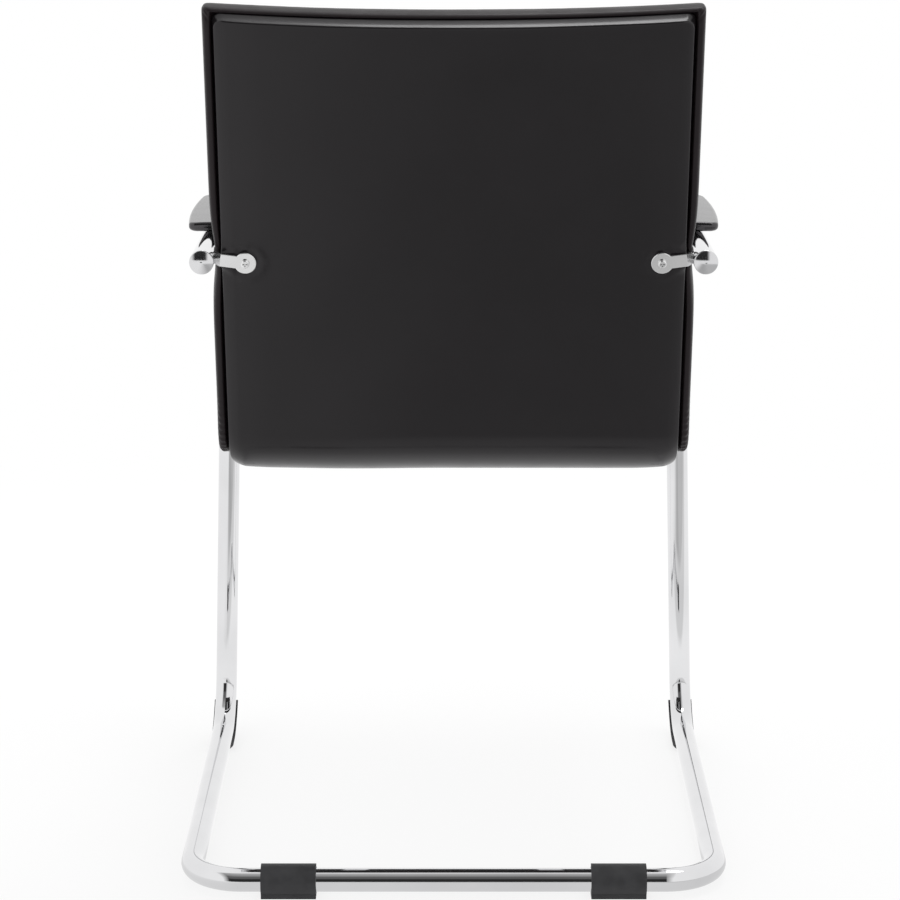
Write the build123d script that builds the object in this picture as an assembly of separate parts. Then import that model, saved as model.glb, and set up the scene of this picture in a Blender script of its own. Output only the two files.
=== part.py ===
from build123d import *
from math import cos, radians, sin, tan
import os

# Side chair with arms on a cantilever tube frame. Millimetres, +Z up, the sitter looks along -Y.
# Left is the sitter's left, +X. Pieces are laid out from the axis of the rear floor bar, and
# export() moves them so that the middle of the plan box, on the floor, is the origin.

# Bent tube frame
TUBE_OD = 25.0
TUBE_WALL = 2.0
BASE_DEPTH = 530.0  # rear bar axis to front leg axis
BASE_HALF_SPAN = 277.0  # middle plane to runner axis
SIDE_LEAN = 1.65  # degrees, the side frames lean in going up
ARM_HEIGHT = 656.0  # axis of the arms above the floor
ARM_END = 88.0  # rear end of the arm tube ahead of the rear bar axis
ARM_BEND_R = 75.0
FLOOR_BEND_R = 55.0

# Upholstered seat and back, seen from the side
BACK_RECLINE = 14.0  # degrees from upright
SEAT_PITCH = 1.5  # degrees, the front edge is higher
BACK_FACE_SET = 4.0  # rear face of the back ahead of the arm tube's end
ROLL_HEIGHT = 411.5  # underside of the roll at the foot of the back
ROLL_R = 65.0
SEAT_LENGTH = 448.0  # shell corner to seat nose
BACK_LENGTH = 497.0  # shell corner to top of the back
SHELL_THICK = 11.0
SHELL_MARGIN = 22.0  # shell edge inside the cushion edge
SEAT_FOAM = 40.0
BACK_FOAM = 32.0
SEAT_CROWN = 6.0
BACK_CROWN = 4.0
CUSHION_EDGE_R = 12.0
CORNER_SHARE = 0.4  # how much of the edge rounding shows at the corners in plan
INNER_CORNER_R = 40.0
NOSE_R = 26.0
TOP_R = 12.0
SKIN = 1.2  # vinyl
REAR_FOAM = 14.0
PANEL_INSET = 4.0  # rear panel side edge inside the cushion rim
PANEL_DROP = 2.0  # rear panel top edge below the cushion rim
PANEL_EDGE_R = 8.0
PANEL_WRAP = 90.0  # how far the rear panel runs under the seat
DUST_THICK = 1.0

# Seat support
CROSS_INSET = 1.5  # cross tube narrower than the legs, each side
CROSS_H = 30.0
CROSS_WALL = 1.5
CROSS_BITE = 0.5  # how far the cross tube's ends are coped round the legs
RAIL_X = 120.0
RAIL_W = 30.0
RAIL_THICK = 5.0
RAIL_START = 140.0
RAIL_OVERHANG = 12.0
BOLT_INSET = 50.0  # rear seat bolts ahead of the rail's rear end
BOLT_CROSS_GAP = 28.0  # front seat bolts behind the cross tube

# Back straps
STRAP_W = 14.0
STRAP_THICK = 3.0
STRAP_REACH = 33.6  # middle of the eye from the strap's outer end
STRAP_TURN = 8.1  # the strap turns forward this far from its outer end
STRAP_EYE_R = 11.5
STRAP_SLOPE = 8.0  # degrees, down from the arm to the eye
EYE_DROP = 1.0  # middle of the eye below the arm tube's
STRAP_EAR = 14.0
STRAP_BITE = 1.5  # how far the strap's end is coped round the tube
STRAP_EDGE_R = 0.8

# Arm pads
PAD_START = 211.0  # rear end of the pad ahead of the rear bar axis
PAD_BEND_GAP = 35.0  # front end of the pad behind the arm's bend
PAD_W = 46.0  # at its ends
PAD_BOW = 5.0  # each long side swells this far between the ends
PAD_THICK = 10.5
PAD_GROOVE = 1.0
PAD_CROWN_R = 150.0
PAD_CORNER_R = 12.0
PAD_EDGE_R = 2.5
PLATE_W = 24.0
PLATE_INSET = 20.0  # plate shorter than the pad, each end
PLATE_THICK = 3.0
PLATE_FLOOR = 2.0  # pad material between the tube and the plate
PAD_SCREW_INSET = 27.5  # pad screws from the plate's ends

# Glides
GLIDE_WALL = 4.5
GLIDE_SOLE = 24.0
GLIDE_LENGTH = 57.5
GLIDE_INSET = 49.5  # middle of the rear glide from the bar's bend
GLIDE_SLIT = 8.0
SADDLE_WALL = 4.5
SADDLE_SOLE = 16.0
SADDLE_TAIL = 20.0  # straight run behind the bend
SADDLE_TURN = 60.0  # degrees of the bend that the saddle covers
SADDLE_FOOT = 30.0  # flat sole ahead of the bend's start
SADDLE_DROP = 9.5  # the saddle's edges stop this far below the tube axis
PEG_R = 3.0
PEG_BASE = 2.0
PEG_TOP = 9.0

# Fasteners
BOLT_D = 6.0
BOLT_HEAD_AF = 10.0
BOLT_HEAD_H = 4.0
WASHER_R = 7.0
WASHER_THICK = 1.5
SCREW_D = 5.0
SCREW_HEAD_R = 4.6
SCREW_HEAD_H = 3.0
SCREW_HEAD_ROUND = 1.8
RECESS_L = 5.0
RECESS_W = 1.1
RECESS_DEPTH = 1.4
NUT_BARREL_WALL = 1.3
NUT_FLANGE_R = 9.0
NUT_FLANGE_H = 1.5
NUT_SHY = 0.5  # the nut's barrel ends this far inside the shell
CAP_PLUG = 15.0
CAP_DOME_R = 40.0
CAP_RISE = 4.5  # middle of the dome beyond the tube's end
CAP_RIM_R = 1.2

# Clearances
FIT = 0.1  # radial, pieces pushed on or in
THREAD_GAP = 0.05
BOLT_GAP = 0.25
LAYER_GAP = 0.1  # between stacked upholstery layers
SHELL_END_GAP = 0.6  # a fastener's tip stays this far inside the shell
ARM_GAP = 1.0  # cushion to arm tube

POKE = 3.0  # a cutting form stands out this far, so that no two faces lie on each other
THROUGH = 200.0  # a drill this long passes through every layer

UP = (Align.CENTER, Align.CENTER, Align.MIN)
DOWN = (Align.CENTER, Align.CENTER, Align.MAX)
TUBE_R = TUBE_OD / 2
BORE_R = TUBE_R - TUBE_WALL
GLIDE_R = TUBE_R + GLIDE_WALL
SADDLE_R = TUBE_R + SADDLE_WALL
AXIS_HEIGHT = GLIDE_R  # axis of the runners and the rear bar above the floor
GLIDE_X = BASE_HALF_SPAN - FLOOR_BEND_R - GLIDE_INSET
CROSS_W = TUBE_OD - 2 * CROSS_INSET
PANEL_T = LAYER_GAP + REAR_FOAM + SKIN
PAD_LENGTH = BASE_DEPTH - ARM_BEND_R - PAD_BEND_GAP - PAD_START
PLATE_LENGTH = PAD_LENGTH - 2 * PLATE_INSET
PAD_SCREW_GAP = PLATE_LENGTH - 2 * PAD_SCREW_INSET
NUT_HEIGHT = SHELL_THICK - NUT_SHY


def side_x(height):
    """Distance of the side frame's axis from the middle plane at a height."""
    return BASE_HALF_SPAN - tan(radians(SIDE_LEAN)) * (height - AXIS_HEIGHT)


ARM_X = side_x(ARM_HEIGHT)
CUSHION_HALF = ARM_X - TUBE_R - ARM_GAP
PANEL_HALF = CUSHION_HALF - PANEL_INSET
SHELL_HALF = CUSHION_HALF - SHELL_MARGIN / 2


def both(piece):
    """The left piece and its mirror image on the right."""
    return piece, mirror(piece, about=Plane.YZ)


# Frame tube, its bore, and the same path with running room for pieces that hug it

def side_points(sign):
    return [
        (sign * ARM_X, -ARM_END, ARM_HEIGHT),
        (sign * ARM_X, -BASE_DEPTH, ARM_HEIGHT),
        (sign * BASE_HALF_SPAN, -BASE_DEPTH, AXIS_HEIGHT),
        (sign * BASE_HALF_SPAN, 0, AXIS_HEIGHT),
    ]


frame_points = side_points(1) + side_points(-1)[::-1]
bends = [ARM_BEND_R, FLOOR_BEND_R, FLOOR_BEND_R]
frame_path = FilletPolyline(*frame_points, radius=bends + bends[::-1])
frame_start = Plane(origin=frame_points[0], z_dir=(0, -1, 0))


def along_frame(radius):
    return sweep(frame_start * Circle(radius), path=frame_path)


frame_outer = along_frame(TUBE_R)
frame_room = along_frame(TUBE_R + FIT)
frame_tube = frame_outer - along_frame(BORE_R)

pad_middle = -PAD_START - PAD_LENGTH / 2
pad_screw_y = [pad_middle - PAD_SCREW_GAP / 2, pad_middle + PAD_SCREW_GAP / 2]
saddle_start = -(BASE_DEPTH - FLOOR_BEND_R)
peg_spots = [(GLIDE_X, 0), (BASE_HALF_SPAN, saddle_start + SADDLE_TAIL / 2)]

for sign in (1, -1):
    for y in pad_screw_y:
        frame_tube -= Pos(sign * ARM_X, y, ARM_HEIGHT) * Cylinder(SCREW_D / 2 + BOLT_GAP, 2 * TUBE_OD)
    for x, y in peg_spots:
        frame_tube -= Pos(sign * x, y, AXIS_HEIGHT - TUBE_R) * Cylinder(PEG_R + FIT, TUBE_R)

# Domed caps pushed into the arm ends

def dome_height(x):
    return CAP_RISE - CAP_DOME_R + (CAP_DOME_R ** 2 - x ** 2) ** 0.5


cap_rim = (TUBE_R, dome_height(TUBE_R))
cap_arc = ThreePointArc(cap_rim, (TUBE_R / 2, dome_height(TUBE_R / 2)), (0, CAP_RISE))
cap_face = make_face([cap_arc, Polyline((0, CAP_RISE), (0, 0), (TUBE_R, 0), cap_rim)])
cap_face = fillet(cap_face.vertices().sort_by(Axis.X)[-2:].sort_by(Axis.Y)[-1], CAP_RIM_R)
dome = revolve(cap_face, axis=Axis.Y)
plug = Pos(0, -CAP_PLUG / 2, 0) * Rot(90, 0, 0) * Cylinder(BORE_R - FIT, CAP_PLUG)
arm_end_cap = Pos(ARM_X, -ARM_END, ARM_HEIGHT) * (dome + plug)

# Side view of the upholstery: a seat line and a back line that meet at the shell's corner.
# An offset is counted outward, which is down from the seat and rearward from the back.

pitch = radians(SEAT_PITCH)
recline = radians(BACK_RECLINE)
opening = cos(recline - pitch)
seat_dir = Vector(-cos(pitch), sin(pitch))
seat_out = Vector(-sin(pitch), -cos(pitch))
back_dir = Vector(sin(recline), cos(recline))
back_out = Vector(cos(recline), -sin(recline))

roll_y = -(ARM_END + BACK_FACE_SET) - (ARM_HEIGHT - ROLL_HEIGHT) * tan(recline)
shell_corner = Vector(roll_y, ROLL_HEIGHT) + (seat_dir + back_dir) * (PANEL_T / opening)


def corner(seat_offset, back_offset):
    return shell_corner - seat_dir * (back_offset / opening) - back_dir * (seat_offset / opening)


def seat_point(along, offset):
    return shell_corner + seat_dir * along + seat_out * offset


def back_point(along, offset):
    return shell_corner + back_dir * along + back_out * offset


seat_plane = Plane(
    origin=(0, shell_corner.X, shell_corner.Y), x_dir=(1, 0, 0), z_dir=(0, sin(pitch), cos(pitch))
)
back_plane = Plane(
    origin=(0, shell_corner.X, shell_corner.Y), x_dir=(1, 0, 0), z_dir=(0, cos(recline), -sin(recline))
)


def on_seat(x, along, offset):
    """A place under the seat. Local +Z is up, out of the seat."""
    return seat_plane * Pos(x, -along, -offset)


def on_back(x, along, offset):
    """A place behind the back. Local +Z is rearward."""
    return back_plane * Pos(x, -along, offset)


def rounded_face(points, radii):
    """A closed outline of straight runs with a tangent arc at each corner that has a radius."""
    turns = []
    for i, radius in enumerate(radii):
        here = points[i]
        if radius == 0:
            turns.append([here])
            continue
        before = (points[i - 1] - here).normalized()
        after = (points[(i + 1) % len(points)] - here).normalized()
        half = radians(before.get_angle(after) / 2)
        reach = radius / tan(half)
        crest = here + (before + after).normalized() * (radius / sin(half) - radius)
        turns.append([here + before * reach, crest, here + after * reach])
    edges = []
    for i, turn in enumerate(turns):
        edges.append(Line(turns[i - 1][-1], turn[0]))
        if len(turn) == 3:
            edges.append(ThreePointArc(*turn))
    return make_face(edges)


def layer_face(out, seat_in, back_in, seat_end, back_end, radii):
    """Side view of one layer, from its outer offset to its inner offsets.

    Radii go round from the outer nose: nose, roll, top, inner top, inner corner, inner nose.
    """
    points = [
        seat_point(seat_end, out),
        corner(out, out),
        back_point(back_end, out),
        back_point(back_end, back_in),
        corner(seat_in, back_in),
        seat_point(seat_end, seat_in),
    ]
    return rounded_face(points, radii)


def roll_radius(offset):
    return ROLL_R - PANEL_T + offset


def stations(half_width, edge_r):
    """Cuts across the width: where, how far the edge is drawn in there, and the share of crown."""
    flat = half_width - edge_r
    cuts = []
    for angle in (0, 30, 60, 90):
        turn = radians(angle)
        cuts.append((flat + edge_r * cos(turn), edge_r - edge_r * sin(turn), 0.0))
    for share in (0.7, 0.4):
        cuts.append((share * flat, 0.0, 1 - share ** 2))
    middle = [(0.0, 0.0, 1.0)]
    return cuts + middle + [(-x, draw, crown) for x, draw, crown in cuts[::-1]]


def across(cuts):
    return loft([Plane.YZ.offset(x) * face for x, face in cuts], ruled=True)


def front_cushion(shrink, out):
    """The crowned front cushion, shrunk all round by a skin, from an outer offset inward."""
    cuts = []
    for x, draw, crown in stations(CUSHION_HALF - shrink, CUSHION_EDGE_R - shrink):
        body = SHELL_THICK + SKIN - shrink - draw
        seat_in = -(body + SEAT_FOAM + crown * SEAT_CROWN)
        back_in = -(body + BACK_FOAM + crown * BACK_CROWN)
        ends = shrink + CORNER_SHARE * draw
        radii = [0, roll_radius(out), 0, TOP_R - shrink, INNER_CORNER_R + shrink, NOSE_R - shrink]
        face = layer_face(out, seat_in, back_in, SEAT_LENGTH - ends, BACK_LENGTH - ends, radii)
        cuts.append((x, face))
    return across(cuts)


def rear_panel(shrink, inner):
    """The rear panel, shrunk by a skin, from an inner offset out to its padded face."""
    cuts = []
    edge = PANEL_EDGE_R - shrink
    for x, draw, _ in stations(PANEL_HALF - shrink, edge):
        out = PANEL_T - shrink - draw
        ends = shrink + CORNER_SHARE * draw
        radii = [edge / 2, roll_radius(out), edge / 2, 0, roll_radius(inner), 0]
        top = BACK_LENGTH - PANEL_DROP - ends
        face = layer_face(out, inner, inner, PANEL_WRAP - ends, top, radii)
        cuts.append((x, face))
    return across(cuts)


def shell_body(out):
    radii = [0, roll_radius(out), 0, 0, roll_radius(-SHELL_THICK), 0]
    ends = SHELL_MARGIN
    face = layer_face(
        out, -SHELL_THICK, -SHELL_THICK, SEAT_LENGTH - ends, BACK_LENGTH - ends, radii
    )
    return extrude(Plane.YZ.offset(-SHELL_HALF) * face, 2 * SHELL_HALF)


# Where the cross tube and the fasteners go

rail_under = LAYER_GAP + DUST_THICK + RAIL_THICK
cross_offset = rail_under + CROSS_H / 2
cross_along = (BASE_DEPTH + shell_corner.X - cross_offset * sin(pitch)) / cos(pitch)
bolt_along = (RAIL_START + BOLT_INSET, cross_along - CROSS_W / 2 - BOLT_CROSS_GAP)
seat_spots = [(sign * RAIL_X, along) for sign in (1, -1) for along in bolt_along]
strap_along = (ARM_HEIGHT - EYE_DROP - shell_corner.Y + PANEL_T * sin(recline)) / cos(recline)
strap_end = ARM_X - TUBE_R + STRAP_BITE
eye_x = strap_end - STRAP_REACH
back_spots = [(sign * eye_x, strap_along) for sign in (1, -1)]


def hole(radius):
    return Cylinder(radius, THROUGH)


def flanged_nut(thread_d):
    """Flange at the top, at local zero, and the barrel below it."""
    barrel = Cylinder(thread_d / 2 + NUT_BARREL_WALL, NUT_HEIGHT, align=DOWN)
    flange = Cylinder(NUT_FLANGE_R, NUT_FLANGE_H, align=DOWN)
    return barrel + flange - hole(thread_d / 2 + THREAD_GAP)


def nut_room(thread_d):
    barrel = hole(thread_d / 2 + NUT_BARREL_WALL + FIT)
    flange = Cylinder(NUT_FLANGE_R + FIT, NUT_FLANGE_H + FIT, align=DOWN)
    return barrel + flange


def pan_screw(length):
    """Head above local zero, shank below, with a cross recess."""
    head = Cylinder(SCREW_HEAD_R, SCREW_HEAD_H, align=UP)
    head = fillet(head.edges().group_by(Axis.Z)[-1], SCREW_HEAD_ROUND)
    shank = Cylinder(SCREW_D / 2, length, align=DOWN)
    slot = Box(RECESS_L, RECESS_W, 2 * RECESS_DEPTH)
    recess = Pos(0, 0, SCREW_HEAD_H) * (slot + Rot(0, 0, 90) * slot)
    return head - recess + shank


def hex_bolt(length):
    """Head below local zero, shank above."""
    head = extrude(RegularPolygon(BOLT_HEAD_AF / 2, 6, major_radius=False), -BOLT_HEAD_H)
    shank = Cylinder(BOLT_D / 2, length, align=UP)
    return head + shank


# Shell with its nuts

seat_shell = shell_body(0)
seat_nuts = []
back_nuts = []
for x, along in seat_spots:
    spot = on_seat(x, along, -SHELL_THICK)
    seat_shell -= spot * nut_room(BOLT_D)
    seat_nuts.append(spot * flanged_nut(BOLT_D))
for x, along in back_spots:
    spot = on_back(x, along, -SHELL_THICK) * Rot(180, 0, 0)
    seat_shell -= spot * nut_room(SCREW_D)
    back_nuts.append(spot * flanged_nut(SCREW_D))

# Front cushion: the cover is the outer form less the foam and the shell, so it returns behind
# the foam as far as the shell's edge. The foam is parted by a mitre between seat and back

foam_form = front_cushion(SKIN, -SKIN)
front_cover = front_cushion(0, 0) - foam_form - shell_body(POKE)
front_foam = foam_form - shell_body(POKE)
inner_corner = corner(-(SHELL_THICK + SEAT_FOAM), -(SHELL_THICK + BACK_FOAM))
mitre = (inner_corner - corner(0, 0)).normalized()
mitre_plane = Plane(
    origin=(0, inner_corner.X, inner_corner.Y), x_dir=(1, 0, 0), z_dir=(0, mitre.Y, -mitre.X)
)
back_foam = split(front_foam, bisect_by=mitre_plane, keep=Keep.TOP)
seat_foam = split(front_foam, bisect_by=mitre_plane, keep=Keep.BOTTOM)

# Rear panel

rear_foam = rear_panel(SKIN, LAYER_GAP)
rear_cover = rear_panel(0, LAYER_GAP) - rear_panel(SKIN, LAYER_GAP - POKE)
for x, along in back_spots:
    way = on_back(x, along, 0) * hole(SCREW_D / 2 + BOLT_GAP)
    rear_foam -= way
    rear_cover -= way

# Dust cover, rails and cross tube under the seat

dust_length = SEAT_LENGTH - SHELL_MARGIN - PANEL_WRAP - 2 * LAYER_GAP
dust_middle = PANEL_WRAP + LAYER_GAP + dust_length / 2
dust_cover = on_seat(0, dust_middle, LAYER_GAP + DUST_THICK / 2) * Box(
    2 * SHELL_HALF, dust_length, DUST_THICK
)
cross_height = seat_point(cross_along, cross_offset).Y
cross_reach = side_x(cross_height) - (TUBE_R ** 2 - (CROSS_W / 2) ** 2) ** 0.5 + CROSS_BITE
cross_block = Box(2 * cross_reach, CROSS_W, CROSS_H)
cross_core = Box(3 * cross_reach, CROSS_W - 2 * CROSS_WALL, CROSS_H - 2 * CROSS_WALL)
seat_cross_tube = on_seat(0, cross_along, cross_offset) * (cross_block - cross_core) - frame_outer

rail_length = cross_along + CROSS_W / 2 + RAIL_OVERHANG - RAIL_START
rail_middle = RAIL_START + rail_length / 2
seat_rail = on_seat(RAIL_X, rail_middle, rail_under - RAIL_THICK / 2) * Box(
    RAIL_W, rail_length, RAIL_THICK
)
seat_bolts = []
seat_washers = []
for x, along in seat_spots:
    way = on_seat(x, along, 0) * hole(BOLT_D / 2 + BOLT_GAP)
    dust_cover -= way
    seat_rail -= way
    grip = WASHER_THICK + rail_under + SHELL_THICK - SHELL_END_GAP
    seat_bolts.append(on_seat(x, along, rail_under + WASHER_THICK) * hex_bolt(grip))
    washer = Cylinder(WASHER_R, WASHER_THICK) - hole(BOLT_D / 2 + BOLT_GAP)
    seat_washers.append(on_seat(x, along, rail_under + WASHER_THICK / 2) * washer)

# Back straps, turned forward and coped round the arm tube, and their screws

turn_x = strap_end - STRAP_TURN
inner_turn = turn_x + STRAP_THICK - STRAP_THICK * 2 ** 0.5
ear_x = strap_end - STRAP_THICK - STRAP_BITE
strap_side = make_face(Polyline(
    (eye_x, STRAP_THICK),
    (turn_x, STRAP_THICK),
    (strap_end, STRAP_THICK - STRAP_TURN),
    (strap_end, -STRAP_EAR),
    (ear_x, -STRAP_EAR),
    (ear_x, inner_turn - ear_x),
    (inner_turn, 0),
    (eye_x, 0),
    close=True,
))
strap = extrude(Plane.XZ * strap_side, STRAP_W / 2, both=True)
strap += extrude(Pos(eye_x, 0) * Circle(STRAP_EYE_R), STRAP_THICK)
strap = fillet(strap.faces().sort_by(Axis.Z)[-1].edges(), STRAP_EDGE_R)
strap -= Pos(eye_x, 0, 0) * hole(SCREW_D / 2 + BOLT_GAP)
strap = Rot(0, 0, -STRAP_SLOPE) * Pos(-eye_x, 0, 0) * strap
back_strap = on_back(eye_x, strap_along, PANEL_T) * strap - frame_outer - arm_end_cap

back_grip = STRAP_THICK + PANEL_T + SHELL_THICK - SHELL_END_GAP
back_screws = [on_back(x, along, PANEL_T + STRAP_THICK) * pan_screw(back_grip) for x, along in back_spots]

# Arm pads with their plates and screws

pad_floor = ARM_HEIGHT + TUBE_R - PAD_GROOVE
pad_side = PAD_W / 2
pad_end = PAD_LENGTH / 2


def pad_edge(sign):
    swell = (sign * (pad_side + PAD_BOW), 0)
    return ThreePointArc((sign * pad_side, -pad_end), swell, (sign * pad_side, pad_end))


pad_ends = [Line((-pad_side, y), (pad_side, y)) for y in (-pad_end, pad_end)]
pad_block = extrude(make_face([*pad_ends, pad_edge(1), pad_edge(-1)]), PAD_THICK)
pad_block = fillet(pad_block.edges().filter_by(Axis.Z), PAD_CORNER_R)
crown = Pos(0, 0, PAD_THICK - PAD_CROWN_R) * Rot(90, 0, 0) * Cylinder(PAD_CROWN_R, 2 * PAD_LENGTH)
pad_block = pad_block & crown
pad_block = fillet(pad_block.faces().sort_by(Axis.Z)[-1].edges(), PAD_EDGE_R)
plate_floor = ARM_HEIGHT + TUBE_R + PLATE_FLOOR
plate_place = Pos(ARM_X, pad_middle, plate_floor + PLATE_THICK / 2)
arm_pad = Pos(ARM_X, pad_middle, pad_floor) * pad_block - frame_room
arm_pad -= plate_place * Box(PLATE_W + FIT, PLATE_LENGTH + FIT, PLATE_THICK + FIT)
arm_pad_plate = plate_place * Box(PLATE_W, PLATE_LENGTH, PLATE_THICK)
pad_screws = []
pad_grip = TUBE_OD + PLATE_FLOOR + PLATE_THICK
screw_base = ARM_HEIGHT - TUBE_R
for y in pad_screw_y:
    way = Cylinder(SCREW_D / 2 + BOLT_GAP, pad_grip, align=UP)
    arm_pad -= Pos(ARM_X, y, screw_base) * way
    arm_pad_plate -= Pos(ARM_X, y, plate_floor) * hole(SCREW_D / 2 + THREAD_GAP)
    pad_screws += both(Pos(ARM_X, y, screw_base) * Rot(180, 0, 0) * pan_screw(pad_grip))

# Glides: split sleeves on the rear bar, saddles under the front bends, each with a locking peg

peg = Pos(0, 0, PEG_BASE) * Cylinder(PEG_R, PEG_TOP - PEG_BASE, align=UP)
sleeve_face = Circle(GLIDE_R) + Pos(0, -AXIS_HEIGHT / 2) * Rectangle(GLIDE_SOLE, AXIS_HEIGHT)
sleeve_plane = Plane(origin=(GLIDE_X - GLIDE_LENGTH / 2, 0, AXIS_HEIGHT), x_dir=(0, 1, 0), z_dir=(1, 0, 0))
rear_glide = extrude(sleeve_plane * sleeve_face, GLIDE_LENGTH) - frame_room
slit = Rot(-45, 0, 0) * Pos(0, -GLIDE_R, 0) * Box(2 * GLIDE_LENGTH, GLIDE_R, GLIDE_SLIT)
rear_glide -= Pos(GLIDE_X, 0, AXIS_HEIGHT) * slit
rear_glide += Pos(GLIDE_X, 0, 0) * peg

lean = radians(SIDE_LEAN)
saddle_plane = Plane(
    origin=(BASE_HALF_SPAN, saddle_start, AXIS_HEIGHT), x_dir=(0, -1, 0), z_dir=(-cos(lean), 0, -sin(lean))
)
saddle_line = Line((-SADDLE_TAIL, 0), (0, 0)) + CenterArc((0, FLOOR_BEND_R), FLOOR_BEND_R, 270, SADDLE_TURN)
saddle_path = saddle_plane * saddle_line
lip_cut = Pos(0, TUBE_OD - SADDLE_DROP) * Rectangle(2 * TUBE_OD, 2 * TUBE_OD)
saddle_face = Circle(SADDLE_R) - Circle(TUBE_R + FIT) - lip_cut
saddle_begin = Plane(
    origin=(BASE_HALF_SPAN, saddle_start + SADDLE_TAIL, AXIS_HEIGHT),
    x_dir=(cos(lean), 0, sin(lean)),
    z_dir=(0, -1, 0),
)
front_glide = sweep(saddle_begin * saddle_face, path=saddle_path)
sole_length = SADDLE_TAIL + SADDLE_FOOT
sole_middle = saddle_start + SADDLE_TAIL - sole_length / 2
sole_top = 0.75 * AXIS_HEIGHT
sole = Pos(BASE_HALF_SPAN, sole_middle, sole_top / 2) * Box(SADDLE_SOLE, sole_length, sole_top)
front_glide += sole - frame_room
front_glide += Pos(BASE_HALF_SPAN, saddle_start + SADDLE_TAIL / 2, 0) * peg

# Write every piece, moved to the row's origin

pieces = {
    "frame_tube": [frame_tube],
    "seat_cross_tube": [seat_cross_tube],
    "seat_shell": [seat_shell],
    "seat_foam": [seat_foam],
    "back_foam": [back_foam],
    "front_cover": [front_cover],
    "rear_foam": [rear_foam],
    "rear_cover": [rear_cover],
    "dust_cover": [dust_cover],
    "seat_bolts": seat_bolts,
    "seat_washers": seat_washers,
    "seat_nuts": seat_nuts,
    "back_nuts": back_nuts,
    "back_screws": back_screws,
    "arm_pad_screws": pad_screws,
}
sided = {
    "arm_end_cap": arm_end_cap,
    "seat_rail": seat_rail,
    "back_strap": back_strap,
    "arm_pad": arm_pad,
    "arm_pad_plate": arm_pad_plate,
    "rear_glide": rear_glide,
    "front_glide": front_glide,
}
for name, piece in sided.items():
    left, right = both(piece)
    pieces[name + "_left"] = [left]
    pieces[name + "_right"] = [right]


def export(nodes):
    solids = [solid for group in nodes.values() for node in group for solid in node.solids()]
    box = Compound(solids).bounding_box()
    shift = Pos(0, -(box.min.Y + box.max.Y) / 2, -box.min.Z)
    os.makedirs("parts", exist_ok=True)
    for name, group in nodes.items():
        node_solids = [solid for node in group for solid in node.solids()]
        export_step(shift * Compound(node_solids), "parts/" + name + ".step")


export(pieces)
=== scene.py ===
import math

import bmesh
import bpy
import numpy as np
from mathutils import Matrix, Vector


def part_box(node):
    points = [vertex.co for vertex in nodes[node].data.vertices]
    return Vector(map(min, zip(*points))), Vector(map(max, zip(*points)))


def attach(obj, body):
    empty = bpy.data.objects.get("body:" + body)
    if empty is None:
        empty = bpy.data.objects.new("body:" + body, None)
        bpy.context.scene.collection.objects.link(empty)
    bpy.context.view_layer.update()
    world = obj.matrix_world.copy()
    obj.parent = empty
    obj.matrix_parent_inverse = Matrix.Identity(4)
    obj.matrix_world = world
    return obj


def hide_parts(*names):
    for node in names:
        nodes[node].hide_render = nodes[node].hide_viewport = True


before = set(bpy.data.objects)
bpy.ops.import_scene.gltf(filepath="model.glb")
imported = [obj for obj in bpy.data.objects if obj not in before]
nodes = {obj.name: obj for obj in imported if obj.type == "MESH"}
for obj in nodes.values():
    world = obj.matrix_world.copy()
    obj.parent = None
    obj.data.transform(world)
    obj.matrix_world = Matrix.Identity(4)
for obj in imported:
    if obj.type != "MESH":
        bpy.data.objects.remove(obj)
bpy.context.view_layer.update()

# Metres, +Z up. The sitter looks along -Y, and the camera stands behind the chair.

MM = 0.001

# Upholstery as the CAD model lays it out: a seat line and a back line that meet at the shell's corner
SHELL_CORNER = np.array([133.0075, 427.1162]) * MM
SEAT_PITCH = math.radians(1.5)
BACK_RECLINE = math.radians(14)
SEAT_LENGTH = 448 * MM
ROLL_R = 49.7 * MM
INNER_BEND_R = 40 * MM
SEAT_THICK = 52.2 * MM
BACK_THICK = 44.2 * MM
SHELL_HALF = 234.1 * MM
SHELL_MARGIN = 22 * MM  # the shell ends this far inside the seat's nose
LAYER_GAP = 0.1 * MM
TOP_SAG = 7.5 * MM  # the top edge hangs by this between its corners
TOP_SAG_RUN = 90 * MM
TOP_SAG_POWER = 2.2
WAVE_SHARE = 0.3  # share of a swelling that its waves make uneven

# Front cushion: outline, and the recess behind it
CUSHION_HALF = 250 * MM
CUSHION_TOP = 507 * MM  # shell corner to the top of the back
REAR_EDGE_R = 5.5 * MM
FRONT_EDGE_R = 34 * MM
TOP_CORNER_R = 5 * MM
NOSE_CORNER_R = 18 * MM
REAR_FACE_DEPTH = 9 * MM  # what is shaped on the rear face fades out over this depth
RECESS = 13 * MM  # room for the shell and its nuts
RECESS_GAP = 0.6 * MM
RECESS_TOP_MARGIN = 14 * MM

# Front cushion: the rolled rim round the rear panel, and the groove inside it
RIM_WIDTH = 7.5 * MM
RIM_TOP_CUT = 5 * MM  # the rim is this much narrower along the top
RIM_ROLL = 6 * MM  # the rim stands out behind by this at the sides
RIM_TOP_ROLL = 3 * MM
RIM_TOP_RUN = 25 * MM
RIM_TUCK = 4 * MM  # at the foot of the back the rim draws in by this
RIM_TUCK_RUN = 40 * MM
GROOVE = 2.6 * MM
GROOVE_SLOPE = 3.5 * MM

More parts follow.
